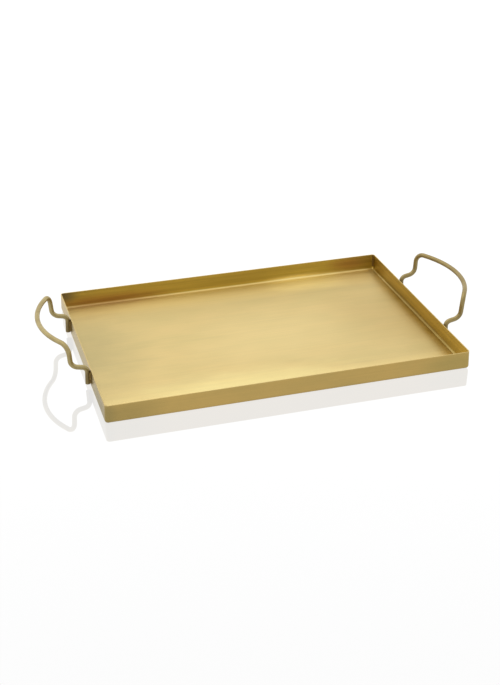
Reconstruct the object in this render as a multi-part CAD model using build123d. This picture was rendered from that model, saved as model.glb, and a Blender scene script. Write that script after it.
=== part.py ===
"""Brass serving tray: a shallow pan folded from one sheet, with a bent rod handle brazed to each end.

Frame: +X along the length, +Y across to the far long side, +Z up.
The origin is on the resting plane, under the middle of the pan. Millimetres.
"""
from build123d import *
import math
import os

# ---- driving dimensions: the pan ----
PAN_LENGTH = 450.0        # over the end walls, at the resting plane
PAN_WIDTH = 313.0         # over the long walls
WALL_HEIGHT = 23.2        # resting plane to rim
SHEET = 1.2               # sheet thickness
END_WALL_LEAN = 0.8       # each end wall leans in this much by the time it reaches the rim
FOLD_RADIUS = 4.0         # outside of the fold between floor and wall
CORNER_RADIUS = 4.0       # outside of the upright corners
SEAM_WIDTH = 0.8          # soldered gap between two neighbouring walls
SEAM_FOOT = 5.0           # height where the corner notch in the sheet ends

# ---- driving dimensions: the handles ----
ROD = 6.0                 # rod diameter
BRAZE_GAP = 0.2           # braze film between rod and wall
FEET_SPACING = 143.0      # between the centres of one handle's feet
FOOT_LOW = 4.5            # sawn end of a foot, measured up the wall
FOOT_BEND = 26.0          # where a foot turns outward, measured up the wall
UPRIGHT_OUT = 21.5        # lower end of an upright, out from the end of the pan
UPRIGHT_LOW = 30.0        # height of the lower end of an upright
GRIP_HEIGHT = 58.5        # height of the grip's centre line
GRIP_REACH = 47.5         # furthest point of the grip's centre line, out from the pan
GRIP_BOW = 117.0          # radius of the grip's bow, seen from above
GRIP_HALF = 59.0          # half the length of the bowed stretch
SHOULDER_RUN = 16.0       # straight tangent from the bow to the shoulder's corner
ELBOW_RADII = (7.0, 10.5, 12.0)  # at the foot, under the upright, at the shoulder
LEFT_SHIFT = 6.5          # the handles are set by hand, not quite central on the walls
RIGHT_SHIFT = -7.0

# ---- driving dimensions: the braze at each foot ----
BRAZE_LOW = 5.5           # measured up the wall
BRAZE_TOP = 19.5
BRAZE_HALF_WIDTH = 4.6    # where it has run out along the wall
BRAZE_WRAP = 62.0         # degrees round the rod, from the side that faces the wall

LEAN_ANGLE = math.atan2(END_WALL_LEAN, WALL_HEIGHT)


def tray_form(inset, low, high, fold):
    """A tapered block with rounded corners: the pan's outside, or the space inside it."""
    corner = CORNER_RADIUS - inset

    def outline(height):
        lean = END_WALL_LEAN * height / WALL_HEIGHT
        length = PAN_LENGTH - 2 * lean - 2 * inset
        width = PAN_WIDTH - 2 * inset
        return Plane.XY.offset(height) * RectangleRounded(length, width, corner)

    block = loft([outline(low), outline(high)], ruled=True)
    floor_edges = block.edges().group_by(Axis.Z)[0]
    return fillet(floor_edges, fold)


def folded_sheet():
    """Floor and four walls, with the corners still closed."""
    outside = tray_form(0, 0, WALL_HEIGHT, FOLD_RADIUS)
    over_rim = WALL_HEIGHT + FOLD_RADIUS
    inside = tray_form(SHEET, SHEET, over_rim, FOLD_RADIUS - SHEET)
    return outside - inside


def corner_slot(end, side):
    """A thin upright plate on the mitre between an end wall and a long wall."""
    reach = 4 * CORNER_RADIUS
    height = WALL_HEIGHT
    mitre = math.degrees(math.atan2(side, end))
    x = end * (PAN_LENGTH / 2 - CORNER_RADIUS)
    y = side * (PAN_WIDTH / 2 - CORNER_RADIUS)
    plate = Box(reach, SEAM_WIDTH, height, align=(Align.CENTER, Align.CENTER, Align.MIN))
    return Location((x, y, SEAM_FOOT), (0, 0, mitre)) * plate


def wall_frame(end, along):
    """Where a foot stands: origin at the foot of the end wall, X out of the wall, Z up the wall."""
    out = Vector(end * math.cos(LEAN_ANGLE), 0, math.sin(LEAN_ANGLE))
    up = Vector(-end * math.sin(LEAN_ANGLE), 0, math.cos(LEAN_ANGLE))
    return Plane(origin=(end * PAN_LENGTH / 2, along, 0), x_dir=out, z_dir=up)


def handle_line(end, shift):
    """Centre line of one handle: foot, run, upright, shoulder, bowed grip, and back down."""
    off_wall = ROD / 2 + BRAZE_GAP
    bow_drop = GRIP_BOW - math.sqrt(GRIP_BOW**2 - GRIP_HALF**2)
    bow_angle = math.asin(GRIP_HALF / GRIP_BOW)
    bow_end = GRIP_REACH - bow_drop
    shoulder_out = bow_end - SHOULDER_RUN * math.sin(bow_angle)
    shoulder_half = GRIP_HALF + SHOULDER_RUN * math.cos(bow_angle)

    def place(out, along, height):
        return Vector(end * (PAN_LENGTH / 2 + out), shift + along, height)

    def half(side):
        wall = wall_frame(end, shift + side * FEET_SPACING / 2)
        return [
            wall.from_local_coords(Vector(off_wall, 0, FOOT_LOW)),
            wall.from_local_coords(Vector(off_wall, 0, FOOT_BEND)),
            place(UPRIGHT_OUT, side * FEET_SPACING / 2, UPRIGHT_LOW),
            place(shoulder_out, side * shoulder_half, GRIP_HEIGHT),
            place(bow_end, side * GRIP_HALF, GRIP_HEIGHT),
        ]

    near = half(-1)
    far = half(1)
    crown = place(GRIP_REACH, 0, GRIP_HEIGHT)
    near_bends = FilletPolyline(*near, radius=list(ELBOW_RADII))
    far_bends = FilletPolyline(*far, radius=list(ELBOW_RADII))
    grip = ThreePointArc(near[-1], crown, far[-1])
    return near_bends + grip + far_bends, near


def handle(end, shift):
    """One rod, bent along the handle's centre line."""
    line, near = handle_line(end, shift)
    path = Wire(line.edges())
    start = Plane(origin=near[0], z_dir=near[1] - near[0])
    rod = sweep(start * Circle(ROD / 2), path=path)
    return rod, path.length


def foot_braze(end, along, rod):
    """Braze run in between a foot and the wall, a hollow fillet on each side of the rod."""
    centre = ROD / 2 + BRAZE_GAP
    wrap = math.radians(BRAZE_WRAP)
    bite = 0.98 * ROD / 2
    grip_u = centre - bite * math.cos(wrap)
    grip_v = bite * math.sin(wrap)
    section = Polygon(
        (0, -BRAZE_HALF_WIDTH),
        (grip_u, -grip_v),
        (grip_u, grip_v),
        (0, BRAZE_HALF_WIDTH),
        align=None,
    )
    length = BRAZE_TOP - BRAZE_LOW
    fill = extrude(section, amount=length)
    placed = wall_frame(end, along).location * Location((0, 0, BRAZE_LOW)) * fill
    return placed - rod


def write(name, solid):
    """One STEP file for each piece."""
    solid.label = name
    export_step(solid, f"parts/{name}.step")


ENDS = {"left": (-1, LEFT_SHIFT), "right": (1, RIGHT_SHIFT)}
SIDES = {"front": -1, "rear": 1}

os.makedirs("parts", exist_ok=True)

# the pan and its four soldered corners
sheet = folded_sheet()
pan = sheet
for end_name, (end, _) in ENDS.items():
    for side_name, side in SIDES.items():
        slot = corner_slot(end, side)
        write(f"corner_seam_{side_name}_{end_name}", (sheet & slot).solid())
        pan = pan - slot
write("tray_pan", pan.solid())

# the handles and the braze at their feet
for end_name, (end, shift) in ENDS.items():
    rod, rod_length = handle(end, shift)
    write(f"handle_{end_name}", rod.solid())
    swept = math.pi * (ROD / 2) ** 2 * rod_length
    print(f"handle_{end_name}: rod {rod_length:.1f} mm long, volume {rod.volume / swept:.4f} of its sweep")
    for side_name, side in SIDES.items():
        fillet_solid = foot_braze(end, shift + side * FEET_SPACING / 2, rod)
        write(f"foot_braze_{end_name}_{side_name}", fillet_solid.solid())
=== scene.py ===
"""The looks of a brass serving tray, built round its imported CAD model.

Metres, in the CAD's frame: +X along the tray, +Y to its rear wall, +Z up, origin on the resting plane.
The pan is a flat blank that a node tree folds up, each handle is a rod that a node tree draws along
its bent centre line, and the brazing metal is made as small uneven fillets.
"""
import math
import bmesh
import bpy
from mathutils import Matrix, Vector, noise


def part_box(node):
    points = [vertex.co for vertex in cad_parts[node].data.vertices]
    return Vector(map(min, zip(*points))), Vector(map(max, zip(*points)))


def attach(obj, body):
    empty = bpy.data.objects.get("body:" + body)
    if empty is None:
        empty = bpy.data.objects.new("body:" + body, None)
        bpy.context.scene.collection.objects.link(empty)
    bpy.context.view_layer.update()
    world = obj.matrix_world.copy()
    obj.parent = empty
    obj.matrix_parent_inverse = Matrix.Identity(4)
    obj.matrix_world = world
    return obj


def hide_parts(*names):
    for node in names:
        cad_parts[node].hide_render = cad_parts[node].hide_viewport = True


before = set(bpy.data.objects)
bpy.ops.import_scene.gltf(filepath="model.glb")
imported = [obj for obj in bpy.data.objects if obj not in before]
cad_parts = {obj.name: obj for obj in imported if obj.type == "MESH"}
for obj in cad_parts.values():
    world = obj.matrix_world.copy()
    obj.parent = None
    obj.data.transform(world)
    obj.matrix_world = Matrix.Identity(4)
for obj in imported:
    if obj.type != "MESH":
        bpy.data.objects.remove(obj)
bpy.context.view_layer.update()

MM = 0.001

# ---- sizes of the pan, as in the CAD ----
PAN_LENGTH = 450 * MM
PAN_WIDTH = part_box("tray_pan")[1].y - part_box("tray_pan")[0].y
WALL_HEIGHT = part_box("tray_pan")[1].z
SHEET = 1.2 * MM
END_WALL_LEAN = 0.8 * MM
FOLD_RADIUS = 4.0 * MM
CORNER_RADIUS = 4.0 * MM
LEAN_ANGLE = math.atan2(END_WALL_LEAN, WALL_HEIGHT)

# ---- sizes of the handles, as in the CAD ----
ROD_RADIUS = 3.0 * MM
BRAZE_GAP = 0.2 * MM
FEET_SPACING = 143.0 * MM
FOOT_LOW = 4.5 * MM
FOOT_BEND = 26.0 * MM
UPRIGHT_OUT = 21.5 * MM
UPRIGHT_LOW = 30.0 * MM
GRIP_HEIGHT = 58.5 * MM
GRIP_REACH = 47.5 * MM
GRIP_BOW = 117.0 * MM
GRIP_HALF = 59.0 * MM
SHOULDER_RUN = 16.0 * MM
ELBOW_RADII = (7.0 * MM, 10.5 * MM, 12.0 * MM)
HANDLE_SHIFT = {"left": 6.5 * MM, "right": -7.0 * MM}
ENDS = {"left": -1, "right": 1}
SIDES = {"front": -1, "rear": 1}


# ---------------------------------------------------------------- small tools

def linear(hex_colour):
    """An sRGB colour such as 'c0a060' as the linear RGBA that the shaders take."""
    channels = []
    for start in (0, 2, 4):
        value = int(hex_colour[start:start + 2], 16) / 255
        channels.append(value / 12.92 if value <= 0.04045 else ((value + 0.055) / 1.055) ** 2.4)
    return (*channels, 1.0)


def add(tree, kind, values=(), **settings):
    """Adds a node. values gives its inputs by place or by name: a number, a colour, a node or a socket."""
    made = tree.nodes.new(kind)
    for name, setting in settings.items():
        setattr(made, name, setting)
    pairs = values.items() if isinstance(values, dict) else enumerate(values)
    for key, value in pairs:
        if isinstance(key, str):
            socket = next(s for s in made.inputs if s.name == key and s.enabled)
        else:
            socket = [s for s in made.inputs if s.enabled][key]
        if isinstance(value, bpy.types.Node):
            value = next(s for s in value.outputs if s.enabled)
        if isinstance(value, bpy.types.NodeSocket):
            tree.links.new(value, socket)
        elif value is not None:
            socket.default_value = value
    return made


def new_tree(name, inputs):
    """An empty geometry node tree with named inputs, and its input node."""
    tree = bpy.data.node_groups.new(name, "GeometryNodeTree")
    tree.interface.new_socket("Geometry", in_out="INPUT", socket_type="NodeSocketGeometry")
    for label, kind in inputs.items():
        tree.interface.new_socket(label, in_out="INPUT", socket_type=kind)
    tree.interface.new_socket("Geometry", in_out="OUTPUT", socket_type="NodeSocketGeometry")
    return tree, tree.nodes.new("NodeGroupInput").outputs


def close_tree(tree, geometry, material):
    """The last nodes of every tree: real geometry with its material."""
    real = add(tree, "GeometryNodeRealizeInstances", [geometry])
    smooth = add(tree, "GeometryNodeSetShadeSmooth", [real])
    painted = add(tree, "GeometryNodeSetMaterial", {"Geometry": smooth, "Material": material})
    add(tree, "NodeGroupOutput", [painted])


def grow(name, tree, sizes, start_mesh=None):
    """Runs a tree with its named sizes and keeps the result as a plain mesh object."""
    seedling = bpy.data.objects.new(name + "_start", start_mesh or bpy.data.meshes.new(name + "_start"))
    bpy.context.scene.collection.objects.link(seedling)
    modifier = seedling.modifiers.new("grow", "NODES")
    modifier.node_group = tree
    for item in tree.interface.items_tree:
        if item.item_type == "SOCKET" and item.in_out == "INPUT" and item.name in sizes:
            modifier[item.identifier] = sizes[item.name]
    depsgraph = bpy.context.evaluated_depsgraph_get()
    mesh = bpy.data.meshes.new_from_object(seedling.evaluated_get(depsgraph))
    bpy.data.objects.remove(seedling)
    mesh.name = name
    made = bpy.data.objects.new(name, mesh)
    bpy.context.scene.collection.objects.link(made)
    return made


def soften_edges(piece, width, segments=2, angle=50):
    """A small bevel on the sharp edges, applied, as a file leaves them."""
    bevel = piece.modifiers.new("filed_edges", "BEVEL")
    bevel.width = width
    bevel.segments = segments
    bevel.limit_method = "ANGLE"
    bevel.angle_limit = math.radians(angle)
    depsgraph = bpy.context.evaluated_depsgraph_get()
    finished = bpy.data.meshes.new_from_object(piece.evaluated_get(depsgraph))
    piece.modifiers.clear()
    old = piece.data
    piece.data = finished
    bpy.data.meshes.remove(old)


def install(piece, slot, *nodes):
    """Fastens a finished piece to the tray and puts it in place of its CAD nodes."""
    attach(piece, "root")
    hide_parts(*nodes)


# ---------------------------------------------------------------- materials

def new_material(name):
    """An empty material with a principled shader, and that shader."""
    material = bpy.data.materials.new(name)
    material.use_nodes = True
    tree = material.node_tree
    tree.nodes.clear()
    shader = add(tree, "ShaderNodeBsdfPrincipled")
    add(tree, "ShaderNodeOutputMaterial", [shader])
    return material, tree, shader


# Toned patches of the sheet, some real stains and some painted highlights and painted shade: middle and
# half size along each axis in mm, tone, and how strongly it shows.
INSIDE_TONING_AND_PAINTED_LIGHT = (
    ((-225, 20, 0), (115, 160, 20), "a09366", 0.58),     # floor, darker and greyer towards the left end: painted shade
    ((-190, 135, 0), (75, 45, 10), "b89560", 0.15),      # floor, far left
    ((190, 10, 0), (115, 130, 20), "b0955c", 0.40),      # floor, warmer towards the right end
    ((-50, -125, 0), (200, 62, 20), "e0cf8f", 0.85),     # floor, brighter along the front: painted highlight
    ((20, -10, 0), (150, 110, 20), "d6c187", 0.55),      # floor, middle
    ((125, 145, 0), (95, 40, 10), "ffe9a0", 0.75),       # floor, painted highlight: a bright patch at the rear right
    ((208, 130, 0), (50, 45, 10), "b08a58", 0.08),       # floor, rear right corner
    ((-160, 155, 6), (110, 12, 13), "a0703a", 0.75),     # rear wall, reddish heat stain at its left
    ((-222, 155, 19), (26, 12, 14), "6a5f4b", 0.85),     # rear wall, dark stain at its left corner
    ((185, 155, 13), (42, 14, 15), "a0673c", 0.50),      # rear wall, reddish stain at its right
    ((222, -20, 12), (12, 240, 30), "a88c34", 0.95),     # right wall, darkened: painted shade
    ((223, 0, 2), (5, 240, 5), "806a3a", 0.80),          # fold of the right wall, darkened: painted shade over its highlight
)
OUTSIDE_TONING = (
    ((-225, 0, 10), (20, 260, 30), "a39364", 0.85),      # left wall
    ((-225, -130, 8), (20, 75, 30), "83784f", 0.80),     # left wall, darker towards the front
    ((-200, -156, 10), (60, 14, 22), "9c8852", 0.60),    # front wall, left end
    ((205, -156, 10), (60, 14, 22), "a08f55", 0.60),     # front wall, right end
)


def brushed_sheet_brass():
    """Brass sheet, scratch-brushed along the length of the floor and of each wall, then waxed.

    The eye sees a soft pale yellow sheen with fine streaks, cloudy patches where the polish has toned
    unevenly, heat-stained corners, and browner, less rubbed outer faces under a paler filed rim. Some of
    it is painted light: painted highlights on the floor at the front, at the rear right and along the long
    folds and on the rim's top, and painted shade on the walls, the outer faces and the floor's left end.
    """
    material, tree, shader = new_material("brushed_satin_brass_sheet")
    place = add(tree, "ShaderNodeTexCoord").outputs["Object"]
    normal = add(tree, "ShaderNodeNewGeometry").outputs["True Normal"]
    facing = add(tree, "ShaderNodeSeparateXYZ", [normal])
    spot = add(tree, "ShaderNodeSeparateXYZ", [place])

    # brush lines are about 0.1 mm apart on the metal; they are drawn 0.9 mm apart so that they show
    line, stroke = 0.9 * MM, 160 * MM
    lengthwise = add(tree, "ShaderNodeMapping", {"Vector": place,
                                                 "Scale": (1 / stroke, 1 / line, 1 / line)})
    crosswise = add(tree, "ShaderNodeMapping", {"Vector": place,
                                                "Scale": (1 / line, 1 / stroke, 1 / line)})
    on_floor_or_long_wall = add(tree, "ShaderNodeTexNoise",
                                {"Vector": lengthwise, "Scale": 1.0, "Detail": 3.0})
    on_end_wall = add(tree, "ShaderNodeTexNoise", {"Vector": crosswise, "Scale": 1.0, "Detail": 3.0})
    sideways = add(tree, "ShaderNodeMath", [facing.outputs["X"]], operation="ABSOLUTE")
    is_end_wall = add(tree, "ShaderNodeMath", [sideways, 0.7], operation="GREATER_THAN")
    brush = add(tree, "ShaderNodeMix", [is_end_wall, on_floor_or_long_wall, on_end_wall], data_type="FLOAT")

    # cloudy toning, patches 30 to 110 mm across and drawn out along the brushing
    drawn_out = add(tree, "ShaderNodeMapping", {"Vector": place, "Scale": (1 / (90 * MM), 1 / (35 * MM),
                                                                           1 / (35 * MM))})
    clouds = add(tree, "ShaderNodeTexNoise",
                 {"Vector": drawn_out, "Scale": 1.0, "Detail": 3.0, "Roughness": 0.5})
    cloud_mix = add(tree, "ShaderNodeMapRange", [clouds, 0.35, 0.65, 0.0, 1.0])
    tone = add(tree, "ShaderNodeMix", {"Factor": cloud_mix, "A": linear("ccb57b"), "B": linear("c5b178")},
               data_type="RGBA")

    # the inner faces of the walls are yellower than the rubbed floor, and darker as painted shade, with
    # long level bands where the brush went to and fro
    upright = add(tree, "ShaderNodeMath", [facing.outputs["Z"]], operation="ABSOLUTE")
    is_wall = add(tree, "ShaderNodeMapRange", [upright, 0.9, 0.3, 0.0, 1.0])
    level = add(tree, "ShaderNodeMapping", {"Vector": place, "Scale": (1 / (220 * MM), 1 / (220 * MM),
                                                                       1 / (6 * MM))})
    bands = add(tree, "ShaderNodeTexNoise",
                {"Vector": level, "Scale": 1.0, "Detail": 3.0, "Roughness": 0.6})
    bands = add(tree, "ShaderNodeMapRange", [bands, 0.36, 0.64, 0.87, 1.13])
    bands = add(tree, "ShaderNodeMix", [is_wall, 1.0, bands], data_type="FLOAT")
    # yellower wall tone, darkened as painted shade
    tone = add(tree, "ShaderNodeMix", {"Factor": is_wall, "A": tone, "B": linear("b89f4c")},
               data_type="RGBA")

    # painted highlight: lighter bands on the floor along the long folds
    sideway = add(tree, "ShaderNodeMath", [spot.outputs["Y"]], operation="ABSOLUTE")
    fold_band_highlight = add(tree, "ShaderNodeMapRange", [sideway, 104 * MM, 154 * MM, 0.0, 0.95])
    off_wall = add(tree, "ShaderNodeMath", [1.0, is_wall], operation="SUBTRACT")
    fold_band_highlight = add(tree, "ShaderNodeMath", [fold_band_highlight, off_wall], operation="MULTIPLY")
    tone = add(tree, "ShaderNodeMix", {"Factor": fold_band_highlight, "A": tone, "B": linear("f0d68e")},
               data_type="RGBA")

    # larger patches with ragged edges
    ragged = add(tree, "ShaderNodeTexNoise", {"Vector": drawn_out, "Scale": 1.7, "Detail": 4.0})
    ragged = add(tree, "ShaderNodeMapRange", [ragged, 0.3, 0.7, -0.11, 0.11])

    def patched(tone, patches):
        for middle, half_size, colour, strength in patches:
            offset = add(tree, "ShaderNodeVectorMath", [place, tuple(c * MM for c in middle)],
                         operation="SUBTRACT")
            offset = add(tree, "ShaderNodeVectorMath", [offset, tuple(c * MM for c in half_size)],
                         operation="DIVIDE")
            reach = add(tree, "ShaderNodeVectorMath", [offset], operation="LENGTH")
            reach = add(tree, "ShaderNodeMath", [reach, ragged], operation="ADD")
            share = add(tree, "ShaderNodeMapRange", [reach, 0.1, 1.0, strength, 0.0],
                        interpolation_type="SMOOTHSTEP")
            tone = add(tree, "ShaderNodeMix", {"Factor": share, "A": tone, "B": linear(colour)},
                       data_type="RGBA")
        return tone

    tone = patched(tone, INSIDE_TONING_AND_PAINTED_LIGHT)

    # faces that look away from the middle of the pan, outer walls and underside, were rubbed less and are
    # darker: the darkening is painted shade
    from_middle = add(tree, "ShaderNodeVectorMath", [place, (0, 0, 10 * MM)], operation="SUBTRACT")
    outwards = add(tree, "ShaderNodeVectorMath", [from_middle, normal], operation="DOT_PRODUCT")
    is_outside = add(tree, "ShaderNodeMapRange", [outwards, 2 * MM, 6 * MM, 0.0, 1.0])
    outside = add(tree, "ShaderNodeMix",
                  {"Factor": cloud_mix, "A": linear("bd9f5e"), "B": linear("b2995c")}, data_type="RGBA")
    outside = patched(outside, OUTSIDE_TONING)
    tone = add(tree, "ShaderNodeMix", {"Factor": is_outside, "A": tone, "B": outside}, data_type="RGBA")

    # the rim is paler: filed bright, and a painted highlight along its top
    rim_foot, rim_top = WALL_HEIGHT - 0.5 * MM, WALL_HEIGHT - 0.1 * MM
    is_rim = add(tree, "ShaderNodeMapRange", [spot.outputs["Z"], rim_foot, rim_top, 0.0, 0.5])
    tone = add(tree, "ShaderNodeMix", {"Factor": is_rim, "A": tone, "B": linear("cdb87f")},
               data_type="RGBA")

    # the streaks lighten and darken the tone a little
    streak = add(tree, "ShaderNodeMapRange", [brush, 0.3, 0.7, 0.95, 1.05])
    bands = add(tree, "ShaderNodeMix", [is_outside, bands, 1.0], data_type="FLOAT")
    streak = add(tree, "ShaderNodeMath", [streak, bands], operation="MULTIPLY")
    colour = add(tree, "ShaderNodeVectorMath", {0: tone, "Scale": streak}, operation="SCALE")
    tree.links.new(colour.outputs[0], shader.inputs["Base Color"])

    # the brush lines spread reflections across themselves
    along = add(tree, "ShaderNodeMix", {"Factor": is_end_wall, "A": (1, 0, 0), "B": (0, 1, 0)},
                data_type="VECTOR")
    across = add(tree, "ShaderNodeVectorMath", [normal, along], operation="CROSS_PRODUCT")
    tree.links.new(across.outputs[0], shader.inputs["Tangent"])
    shader.inputs["Anisotropic"].default_value = 0.7
    shader.inputs["Metallic"].default_value = 1.0
    rough = add(tree, "ShaderNodeMapRange", [brush, 0.2, 0.8, 0.36, 0.46])
    tree.links.new(rough.outputs[0], shader.inputs["Roughness"])
    bump = add(tree, "ShaderNodeBump", {"Height": brush, "Strength": 0.12, "Distance": 0.05 * MM})
    tree.links.new(bump.outputs[0], shader.inputs["Normal"])
    return material


def drawn_rod_brass():
    """Drawn brass rod, bent hot and left with its matt brown-gold skin.

    The eye sees a duller, browner metal than the sheet, with a soft highlight and small dull blotches,
    and feet darkened by the brazing torch's stain and by painted shade where they meet the wall.
    """
    material, tree, shader = new_material("aged_matt_brass_rod")
    place = add(tree, "ShaderNodeTexCoord").outputs["Object"]
    blotch = add(tree, "ShaderNodeTexNoise", {"Vector": place, "Scale": 1 / (14 * MM), "Detail": 4.0})
    grain = add(tree, "ShaderNodeTexNoise", {"Vector": place, "Scale": 1 / (1.2 * MM), "Detail": 2.0})
    share = add(tree, "ShaderNodeMapRange", [blotch, 0.35, 0.65, 0.0, 1.0])
    colour = add(tree, "ShaderNodeMix", {"Factor": share, "A": linear("a8996b"), "B": linear("9e8e63")},
                 data_type="RGBA")
    spot = add(tree, "ShaderNodeSeparateXYZ", [place])
    right = add(tree, "ShaderNodeMapRange", [spot.outputs["X"], -0.2, 0.2, 0.0, 0.6])
    colour = add(tree, "ShaderNodeMix", {"Factor": right, "A": colour, "B": linear("86744a")},
                 data_type="RGBA")
    # darker near the feet: torch stain from brazing, and painted shade where the feet meet the wall
    torch_stain_and_shade = add(tree, "ShaderNodeMapRange", [spot.outputs["Z"], 27 * MM, 16 * MM, 0.0, 0.55])
    colour = add(tree, "ShaderNodeMix", {"Factor": torch_stain_and_shade, "A": colour, "B": linear("54401e")},
                 data_type="RGBA")
    tree.links.new(next(s for s in colour.outputs if s.enabled), shader.inputs["Base Color"])
    shader.inputs["Metallic"].default_value = 1.0
    rough = add(tree, "ShaderNodeMapRange", [blotch, 0.3, 0.7, 0.42, 0.55])
    tree.links.new(rough.outputs[0], shader.inputs["Roughness"])
    bump = add(tree, "ShaderNodeBump", {"Height": grain, "Strength": 0.06, "Distance": 0.05 * MM})
    tree.links.new(bump.outputs[0], shader.inputs["Normal"])
    return material


def brazing_brass():
    """Brazing brass, run in hot and wire-brushed: browner than the sheet, dull and finely pitted, and
    darkened further as painted shade for the gap between each foot and the wall.
    """
    material, tree, shader = new_material("brazing_brass_with_painted_shade")
    place = add(tree, "ShaderNodeTexCoord").outputs["Object"]
    pits = add(tree, "ShaderNodeTexNoise", {"Vector": place, "Scale": 1 / (1.5 * MM), "Detail": 4.0})
    share = add(tree, "ShaderNodeMapRange", [pits, 0.35, 0.65, 0.0, 1.0])
    # dark browns: the metal's own tone, partly painted shade for the gap at the feet
    colour = add(tree, "ShaderNodeMix", {"Factor": share, "A": linear("604a28"), "B": linear("806a3c")},
                 data_type="RGBA")
    tree.links.new(next(s for s in colour.outputs if s.enabled), shader.inputs["Base Color"])
    shader.inputs["Metallic"].default_value = 1.0
    shader.inputs["Roughness"].default_value = 0.5
    bump = add(tree, "ShaderNodeBump", {"Height": pits, "Strength": 0.4, "Distance": 0.1 * MM})
    tree.links.new(bump.outputs[0], shader.inputs["Normal"])
    return material


SHEET_BRASS = brushed_sheet_brass()
ROD_BRASS = drawn_rod_brass()
BRAZING_BRASS = brazing_brass()


# ---------------------------------------------------------------- the pan

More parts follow.
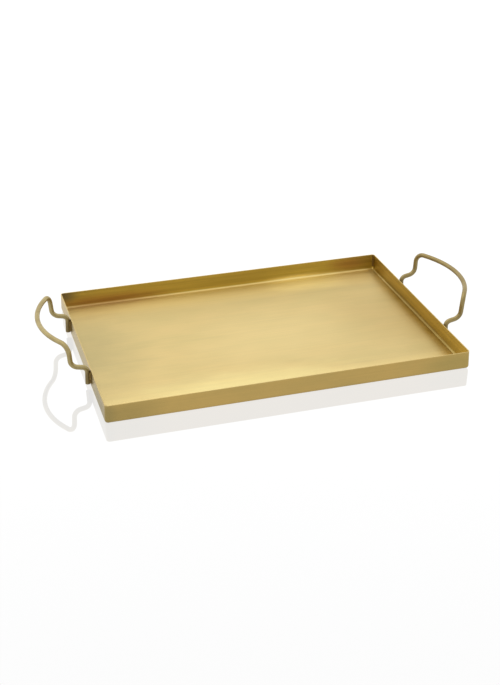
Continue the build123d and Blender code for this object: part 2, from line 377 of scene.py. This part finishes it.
def folding_tree():
    """Folds a flat blank into a pan: floor, rounded folds and walls with rounded upright corners.

    The blank is a grid of two layers, the sheet's outside and inside. Each point knows how far it lies
    past the floor's edge, which says how far up the fold or the wall it goes. That point's ring round the
    pan is a rectangle, drawn in by the rest of the fold and rounded at its corners.
    """
    number = "NodeSocketFloat"
    tree, given = new_tree("fold_pan", {
        "Length": number, "Width": number, "Wall height": number, "Sheet": number,
        "Fold radius": number, "Corner radius": number, "Lean": number,
        "Wall wave": number, "Floor wave": number,
    })
    floor_lines, fold_lines, wall_lines = (32, 22), 8, 24

    # the blank, on unit spacing, doubled into an inner and an outer layer
    counts = [2 * (cells + fold_lines + wall_lines) for cells in floor_lines]
    grid = add(tree, "GeometryNodeMeshGrid", {"Size X": float(counts[0]), "Size Y": float(counts[1]),
                                              "Vertices X": counts[0] + 1, "Vertices Y": counts[1] + 1})
    raised = add(tree, "GeometryNodeExtrudeMesh", {"Mesh": grid.outputs["Mesh"], "Offset": (0, 0, 1),
                                                   "Offset Scale": 1.0, "Individual": False}, mode="FACES")
    under = add(tree, "GeometryNodeFlipFaces", [grid.outputs["Mesh"]])
    both = add(tree, "GeometryNodeJoinGeometry")
    tree.links.new(raised.outputs["Mesh"], both.inputs[0])
    tree.links.new(under.outputs[0], both.inputs[0])
    blank = add(tree, "GeometryNodeMergeByDistance", {"Geometry": both, "Distance": 0.001})

    index = add(tree, "ShaderNodeSeparateXYZ", [add(tree, "GeometryNodeInputPosition")])
    layer = add(tree, "ShaderNodeMath", [index.outputs["Z"], given["Sheet"]], operation="MULTIPLY")
    fold_arc = add(tree, "ShaderNodeMath", [given["Fold radius"], math.pi / 2], operation="MULTIPLY")
    wall_rise = add(tree, "ShaderNodeMath", [given["Wall height"], given["Fold radius"]],
                    operation="SUBTRACT")

    flat, past_floor, floor_half = [], [], []
    sides = (("X", given["Length"], floor_lines[0]), ("Y", given["Width"], floor_lines[1]))
    for axis, size, cells in sides:
        half = add(tree, "ShaderNodeMath", [size, 0.5], operation="MULTIPLY")
        half_floor = add(tree, "ShaderNodeMath", [half, given["Fold radius"]], operation="SUBTRACT")
        line = add(tree, "ShaderNodeMath", [index.outputs[axis]], operation="ABSOLUTE")
        side = add(tree, "ShaderNodeMath", [index.outputs[axis]], operation="SIGN")
        at_fold, at_wall = cells + fold_lines, cells + fold_lines + wall_lines
        on_floor = add(tree, "ShaderNodeMapRange", [line, 0.0, float(cells), 0.0, half_floor])
        on_fold = add(tree, "ShaderNodeMapRange", [line, float(cells), float(at_fold), 0.0, fold_arc])
        on_wall = add(tree, "ShaderNodeMapRange", [line, float(at_fold), float(at_wall), 0.0, wall_rise])
        past = add(tree, "ShaderNodeMath", [on_fold, on_wall], operation="ADD")
        distance = add(tree, "ShaderNodeMath", [on_floor, past], operation="ADD")
        flat.append(add(tree, "ShaderNodeMath", [distance, side], operation="MULTIPLY"))
        past_floor.append(past)
        floor_half.append(half_floor)

    # how far past the floor's edge, round the fold and up the wall
    climb = add(tree, "ShaderNodeMath", past_floor, operation="MAXIMUM")
    turn = add(tree, "ShaderNodeMath", [climb, given["Fold radius"]], operation="DIVIDE")
    turn = add(tree, "ShaderNodeMath", [turn, math.pi / 2], operation="MINIMUM")
    rise = add(tree, "ShaderNodeMath", [climb, fold_arc], operation="SUBTRACT")
    rise = add(tree, "ShaderNodeMath", [rise, 0.0], operation="MAXIMUM")
    radius = add(tree, "ShaderNodeMath", [given["Fold radius"], layer], operation="SUBTRACT")
    sine = add(tree, "ShaderNodeMath", [turn], operation="SINE")
    cosine = add(tree, "ShaderNodeMath", [turn], operation="COSINE")
    lacking = add(tree, "ShaderNodeMath", [1.0, sine], operation="SUBTRACT")
    drawn_in = add(tree, "ShaderNodeMath", [lacking, radius, layer], operation="MULTIPLY_ADD")
    lift = add(tree, "ShaderNodeMath", [cosine, radius], operation="MULTIPLY")
    height = add(tree, "ShaderNodeMath", [given["Fold radius"], lift], operation="SUBTRACT")
    height = add(tree, "ShaderNodeMath", [height, rise], operation="ADD")
    share = add(tree, "ShaderNodeMath", [height, given["Wall height"]], operation="DIVIDE")

    # the walls wander in a little towards the rim, as a hand-folded sheet does
    flat_place = add(tree, "ShaderNodeCombineXYZ", flat)
    wander = add(tree, "ShaderNodeTexNoise", {"Vector": flat_place, "Scale": 1 / (140 * MM), "Detail": 1.0})
    wander = add(tree, "ShaderNodeMath", [wander, given["Wall wave"]], operation="MULTIPLY")
    wander = add(tree, "ShaderNodeMath", [wander, share], operation="MULTIPLY")
    edge = [
        add(tree, "ShaderNodeMath", [half, add(tree, "ShaderNodeMath", [way], operation="ABSOLUTE")],
            operation="SUBTRACT")
        for half, way in zip(floor_half, flat)
    ]
    off_corner = add(tree, "ShaderNodeMath", edge, operation="MAXIMUM")
    free = add(tree, "ShaderNodeMapRange", [off_corner, 0.0, 50 * MM, 0.0, 1.0],
               interpolation_type="SMOOTHSTEP")
    wander = add(tree, "ShaderNodeMath", [wander, free], operation="MULTIPLY")

    # the ring round the pan at this height: half sizes, corner radius
    ring_corner = add(tree, "ShaderNodeMath", [given["Corner radius"], drawn_in], operation="SUBTRACT")
    ring_corner = add(tree, "ShaderNodeMath", [ring_corner, 0.2 * MM], operation="MAXIMUM")
    ring_half, spread = [], []
    leans = (given["Lean"], 0.0)
    for axis, (size, lean) in enumerate(zip((given["Length"], given["Width"]), leans)):
        half = add(tree, "ShaderNodeMath", [size, 0.5], operation="MULTIPLY")
        leaning = add(tree, "ShaderNodeMath", [share, lean, wander], operation="MULTIPLY_ADD")
        inset = add(tree, "ShaderNodeMath", [leaning, drawn_in], operation="ADD")
        half = add(tree, "ShaderNodeMath", [half, inset], operation="SUBTRACT")
        reach = add(tree, "ShaderNodeMath", [floor_half[axis], climb], operation="ADD")
        scale = add(tree, "ShaderNodeMath", [half, reach], operation="DIVIDE")
        ring_half.append(half)
        spread.append(add(tree, "ShaderNodeMath", [flat[axis], scale], operation="MULTIPLY"))
    sharp = add(tree, "ShaderNodeCombineXYZ", spread)
    core_max = [
        add(tree, "ShaderNodeMath", [half, ring_corner], operation="SUBTRACT")
        for half in ring_half
    ]
    core_min = [
        add(tree, "ShaderNodeMath", [most, -1.0], operation="MULTIPLY")
        for most in core_max
    ]
    core = [
        add(tree, "ShaderNodeClamp", {"Value": spread[axis], "Min": core_min[axis], "Max": core_max[axis]})
        for axis in (0, 1)
    ]
    core = add(tree, "ShaderNodeCombineXYZ", core)
    outward = add(tree, "ShaderNodeVectorMath", [sharp, core], operation="SUBTRACT")
    outward = add(tree, "ShaderNodeVectorMath", [outward], operation="NORMALIZE")
    outward = add(tree, "ShaderNodeVectorMath", {0: outward, "Scale": ring_corner}, operation="SCALE")
    rounded = add(tree, "ShaderNodeVectorMath", [core, outward], operation="ADD")

    # the floor is a little domed in places
    off_edge = add(tree, "ShaderNodeMath", edge, operation="MINIMUM")
    inland = add(tree, "ShaderNodeMapRange", [off_edge, 0.0, 60 * MM, 0.0, 1.0],
                 interpolation_type="SMOOTHSTEP")
    dome = add(tree, "ShaderNodeTexNoise", {"Vector": flat_place, "Scale": 1 / (170 * MM), "Detail": 1.0})
    dome = add(tree, "ShaderNodeMath", [dome, given["Floor wave"]], operation="MULTIPLY")
    dome = add(tree, "ShaderNodeMath", [dome, inland], operation="MULTIPLY")

    on_wall_height = add(tree, "ShaderNodeMath", [height, dome], operation="ADD")
    lifted = add(tree, "ShaderNodeCombineXYZ", {"Z": on_wall_height})
    is_floor = add(tree, "ShaderNodeMath", [climb, 1e-6], operation="LESS_THAN")
    across = add(tree, "ShaderNodeMix", {"Factor": is_floor, "A": rounded, "B": flat_place},
                 data_type="VECTOR")
    final = add(tree, "ShaderNodeVectorMath", [across, lifted], operation="ADD")
    folded = add(tree, "GeometryNodeSetPosition", {"Geometry": blank, "Position": final})
    close_tree(tree, folded, SHEET_BRASS)
    return tree


def make_pan():
    """The folded pan, with its rim filed round."""
    pan = grow("pan_folded_sheet", folding_tree(), {
        "Length": PAN_LENGTH, "Width": PAN_WIDTH, "Wall height": WALL_HEIGHT, "Sheet": SHEET,
        "Fold radius": FOLD_RADIUS, "Corner radius": CORNER_RADIUS, "Lean": END_WALL_LEAN,
        "Wall wave": 0.35 * MM, "Floor wave": 0.6 * MM,
    })
    soften_edges(pan, 0.25 * MM)
    return pan


# ---------------------------------------------------------------- the handles

def wall_point(end, along, off, up):
    """A point off the leaning end wall: off from its face, up along it."""
    out = PAN_LENGTH / 2 + off * math.cos(LEAN_ANGLE) - up * math.sin(LEAN_ANGLE)
    return Vector((end * out, along, off * math.sin(LEAN_ANGLE) + up * math.cos(LEAN_ANGLE)))


def handle_path(end, shift):
    """Corners of one handle's centre line, from foot to foot, and the bend radius at each."""
    off_wall = ROD_RADIUS + BRAZE_GAP
    bow_angle = math.asin(GRIP_HALF / GRIP_BOW)
    bow_end = GRIP_REACH - GRIP_BOW * (1 - math.cos(bow_angle))
    shoulder_out = bow_end - SHOULDER_RUN * math.sin(bow_angle)
    shoulder_half = GRIP_HALF + SHOULDER_RUN * math.cos(bow_angle)

    def place(out, along, height):
        return Vector((end * (PAN_LENGTH / 2 + out), shift + along, height))

    def half(side):
        foot_y = side * FEET_SPACING / 2
        return [
            (wall_point(end, shift + foot_y, off_wall, FOOT_LOW), 0.0),
            (wall_point(end, shift + foot_y, off_wall, FOOT_BEND), ELBOW_RADII[0]),
            (place(UPRIGHT_OUT, foot_y, UPRIGHT_LOW), ELBOW_RADII[1]),
            (place(shoulder_out, side * shoulder_half, GRIP_HEIGHT), ELBOW_RADII[2]),
        ]

    steps = 36
    angles = [bow_angle * (2 * k / steps - 1) for k in range(steps + 1)]
    bow = [
        (place(GRIP_REACH - GRIP_BOW * (1 - math.cos(a)), GRIP_BOW * math.sin(a), GRIP_HEIGHT), 0.0)
        for a in angles
    ]
    return half(-1) + bow + half(1)[::-1]


def rod_tree():
    """Draws a round rod along a line of corners, with a rounded bend at each and a slightly uneven skin."""
    tree, given = new_tree("bend_rod", {"Rod radius": "NodeSocketFloat", "Unevenness": "NodeSocketFloat"})
    line = add(tree, "GeometryNodeMeshToCurve", [given["Geometry"]])
    bend = add(tree, "GeometryNodeInputNamedAttribute", ["bend_radius"], data_type="FLOAT")
    bent = add(tree, "GeometryNodeFilletCurve", {"Curve": line, "Count": 14, "Radius": bend,
                                                 "Limit Radius": True}, mode="POLY")
    even = add(tree, "GeometryNodeResampleCurve", {"Curve": bent, "Length": 1.1 * MM}, mode="LENGTH")
    ring = add(tree, "GeometryNodeCurvePrimitiveCircle", {"Resolution": 28, "Radius": given["Rod radius"]})
    skin = add(tree, "GeometryNodeCurveToMesh", {"Curve": even, "Profile Curve": ring.outputs["Curve"],
                                                 "Fill Caps": True})
    lumps = add(tree, "ShaderNodeTexNoise", {"Scale": 1 / (16 * MM), "Detail": 2.0})
    lumps = add(tree, "ShaderNodeMath", [lumps, 0.5], operation="SUBTRACT")
    lumps = add(tree, "ShaderNodeMath", [lumps, given["Unevenness"]], operation="MULTIPLY")
    shift = add(tree, "ShaderNodeVectorMath", {0: add(tree, "GeometryNodeInputNormal"), "Scale": lumps},
                operation="SCALE")
    uneven = add(tree, "GeometryNodeSetPosition", {"Geometry": skin, "Offset": shift})
    close_tree(tree, uneven, ROD_BRASS)
    return tree


def make_handle(end_name, tree):
    """One bent rod handle with its feet sawn off square."""
    corners = handle_path(ENDS[end_name], HANDLE_SHIFT[end_name])
    line = bpy.data.meshes.new("handle_line")
    line.from_pydata([c for c, _ in corners], [(k, k + 1) for k in range(len(corners) - 1)], [])
    bends = line.attributes.new("bend_radius", "FLOAT", "POINT")
    bends.data.foreach_set("value", [r for _, r in corners])
    handle = grow(f"bent_rod_handle_{end_name}", tree,
                  {"Rod radius": ROD_RADIUS - 0.03 * MM, "Unevenness": 0.05 * MM}, line)
    soften_edges(handle, 0.4 * MM)
    return handle


# ---------------------------------------------------------------- brazing metal

BRAZE_LOW, BRAZE_TOP = 5.1 * MM, 20.2 * MM   # where a foot's brazing starts and ends, up the wall
BRAZE_HALF_WIDTH = 4.3 * MM                  # how far it runs out along the wall
BRAZE_WRAP = math.radians(66)                # how far it creeps round the rod
BRAZE_SUNK = 0.15 * MM                       # how deep it bites into the wall
SEAM_FOOT = 5.0 * MM                         # where a corner's brazing starts
SEAM_BELOW_RIM = 0.15 * MM
SEAM_PROUD = 0.25                            # mm that its bead stands proud inside
SEAM_HALF_ANGLE = 34                         # degrees that it spreads round the corner, each way


def skin_rings(name, rings, material):
    """A closed mesh through a row of equal rings of points."""
    count = len(rings[0])
    points = [p for ring in rings for p in ring]
    faces = []
    for row in range(len(rings) - 1):
        for k in range(count):
            n = (k + 1) % count
            a, b = row * count + k, row * count + n
            faces.append((a, b, b + count, a + count))
    faces.append(tuple(range(count - 1, -1, -1)))
    last = (len(rings) - 1) * count
    faces.append(tuple(range(last, last + count)))
    mesh = bpy.data.meshes.new(name)
    mesh.from_pydata(points, [], faces)
    mesh.materials.append(material)
    made = bpy.data.objects.new(name, mesh)
    bpy.context.scene.collection.objects.link(made)
    bpy.context.view_layer.objects.active = made
    mesh.polygons.foreach_set("use_smooth", [True] * len(mesh.polygons))
    work = bmesh.new()
    work.from_mesh(mesh)
    bmesh.ops.recalc_face_normals(work, faces=work.faces)
    work.to_mesh(mesh)
    work.free()
    return made


def make_foot_braze(end_name, side_name):
    """The fillet of brazing metal that holds one foot: it wets wall and rod, and thins out at its ends."""
    end, side = ENDS[end_name], SIDES[side_name]
    along = HANDLE_SHIFT[end_name] + side * FEET_SPACING / 2
    centre = ROD_RADIUS + BRAZE_GAP
    rows, flank = 26, 7
    rings = []
    for row in range(rows + 1):
        part = row / rows
        up = BRAZE_LOW + (BRAZE_TOP - BRAZE_LOW) * part
        swell = max(1 - abs(2 * part - 1) ** 5, 0.02) ** 0.5
        ring = []
        for hand in (-1, 1):
            arc = []
            for k in range(flank + 1):
                t = k / flank
                reach = 1 + 0.18 * noise.noise(Vector((hand * 7.0 + end, up / (3 * MM), t * 2 + side * 3)))
                width = (ROD_RADIUS + (BRAZE_HALF_WIDTH - ROD_RADIUS) * swell) * reach
                angle = BRAZE_WRAP * (0.55 + 0.45 * swell)
                wall_end = Vector((-BRAZE_SUNK, width))
                rod_end = Vector((centre - 0.96 * ROD_RADIUS * math.cos(angle),
                                  0.96 * ROD_RADIUS * math.sin(angle)))
                hollow = Vector((0.35 * rod_end.x, 0.5 * (width + rod_end.y) - 0.5 * MM))
                p = (1 - t) ** 2 * wall_end + 2 * t * (1 - t) * hollow + t * t * rod_end
                arc.append((p.x, hand * p.y))
            ring += arc if hand < 0 else arc[::-1]
        rings.append([wall_point(end, along + v, u, up) for u, v in ring])
    return skin_rings(f"foot_brazing_{end_name}_{side_name}", rings, BRAZING_BRASS)


def make_corner_seam(end_name, side_name):
    """Brazing run down one corner: a narrow uneven bead inside, with its back buried in the sheet."""
    end, side = ENDS[end_name], SIDES[side_name]
    rows, steps = 26, 6
    low, top = SEAM_FOOT, WALL_HEIGHT - SEAM_BELOW_RIM
    rings = []
    for row in range(rows + 1):
        part = row / rows
        height = low + (top - low) * part
        lean = END_WALL_LEAN * height / WALL_HEIGHT
        centre = Vector((PAN_LENGTH / 2 - lean - CORNER_RADIUS, PAN_WIDTH / 2 - CORNER_RADIUS))
        unevenness = noise.noise(Vector((end * 5.0, side * 3.0, height / (2.5 * MM))))
        inner = CORNER_RADIUS - SHEET - (SEAM_PROUD + 0.12 * unevenness) * MM
        outer = CORNER_RADIUS - 0.5 * SHEET
        half_angle = math.radians(SEAM_HALF_ANGLE + 8 * unevenness)
        ring = []
        for radius, sweep in ((outer, 1), (inner, -1)):
            for k in range(steps + 1):
                a = math.pi / 4 + sweep * half_angle * (2 * k / steps - 1)
                ring.append(centre + radius * Vector((math.cos(a), math.sin(a))))
        rings.append([Vector((end * p.x, side * p.y, height)) for p in ring])
    return skin_rings(f"corner_brazing_{side_name}_{end_name}", rings, BRAZING_BRASS)


install(make_pan(), "brass_sheet", "tray_pan")
bend_rod = rod_tree()
for end_name in ENDS:
    install(make_handle(end_name, bend_rod), "brass_rod", f"handle_{end_name}")
    for side_name in SIDES:
        install(make_foot_braze(end_name, side_name), "brazing_brass", f"foot_braze_{end_name}_{side_name}")
        install(make_corner_seam(end_name, side_name), "brazing_brass",
                f"corner_seam_{side_name}_{end_name}")


# ---------------------------------------------------------------- stage, light and camera

def make_floor():
    """A light table: a clear glossy sheet over an evenly lit white one, so it holds a faint reflection
    and no shadow."""
    material, tree, shader = new_material("backlit_white_acrylic_table")
    shader.inputs["Base Color"].default_value = linear("000000")
    shader.inputs["Roughness"].default_value = 0.02
    shader.inputs["IOR"].default_value = 2.3
    shader.inputs["Emission Color"].default_value = linear("ffffff")
    shader.inputs["Emission Strength"].default_value = 0.75
    mesh = bpy.data.meshes.new("table")
    half, level = 4.0, -0.2 * MM
    around = ((-half, -half), (half, -half), (half, half), (-half, half))
    mesh.from_pydata([(x, y, level) for x, y in around], [], [(0, 1, 2, 3)])
    mesh.materials.append(material)
    table = bpy.data.objects.new("table", mesh)
    bpy.context.scene.collection.objects.link(table)


def make_light():
    """A white tent, brighter behind the tray than in front of it, and where a softbox shines through its
    roof."""
    world = bpy.data.worlds.new("studio")
    bpy.context.scene.world = world
    world.use_nodes = True
    tree = world.node_tree
    tree.nodes.clear()
    outward = add(tree, "ShaderNodeTexCoord").outputs["Generated"]
    way = add(tree, "ShaderNodeSeparateXYZ", [outward])
    front, behind = 0.95, 1.35
    wall = add(tree, "ShaderNodeMapRange", [way.outputs["Y"], -0.4, 0.6, front, behind],
               interpolation_type="SMOOTHSTEP")
    softbox = tuple(Vector((-0.5, 0.3, 1.6)).normalized())
    faded, full = math.cos(math.radians(42)), math.cos(math.radians(14))
    towards = add(tree, "ShaderNodeVectorMath", [outward, softbox], operation="DOT_PRODUCT")
    roof = add(tree, "ShaderNodeMapRange", [towards, faded, full, 0.0, 0.75],
               interpolation_type="SMOOTHSTEP")
    strength = add(tree, "ShaderNodeMath", [wall, roof], operation="ADD")
    tent = add(tree, "ShaderNodeBackground", {"Color": (1.0, 1.0, 1.0, 1.0), "Strength": strength})
    add(tree, "ShaderNodeOutputWorld", [tent])


def make_camera():
    """The three-quarter view from the front left, a little above."""
    data = bpy.data.cameras.new("camera")
    data.lens = 65.285
    data.sensor_width = 36.0
    data.clip_start, data.clip_end = 0.05, 20.0
    camera = bpy.data.objects.new("camera", data)
    camera.location = (-0.4133, -1.3547, 0.7240)
    turn = Matrix.Rotation(math.radians(-16.678), 4, "Z")
    tip = Matrix.Rotation(math.radians(90 - 27.310), 4, "X")
    roll = Matrix.Rotation(math.radians(-0.205), 4, "Z")
    camera.rotation_euler = (turn @ tip @ roll).to_euler()
    bpy.context.scene.collection.objects.link(camera)
    bpy.context.scene.camera = camera


make_floor()
make_light()
make_camera()
bpy.context.scene.view_settings.view_transform = "Standard"
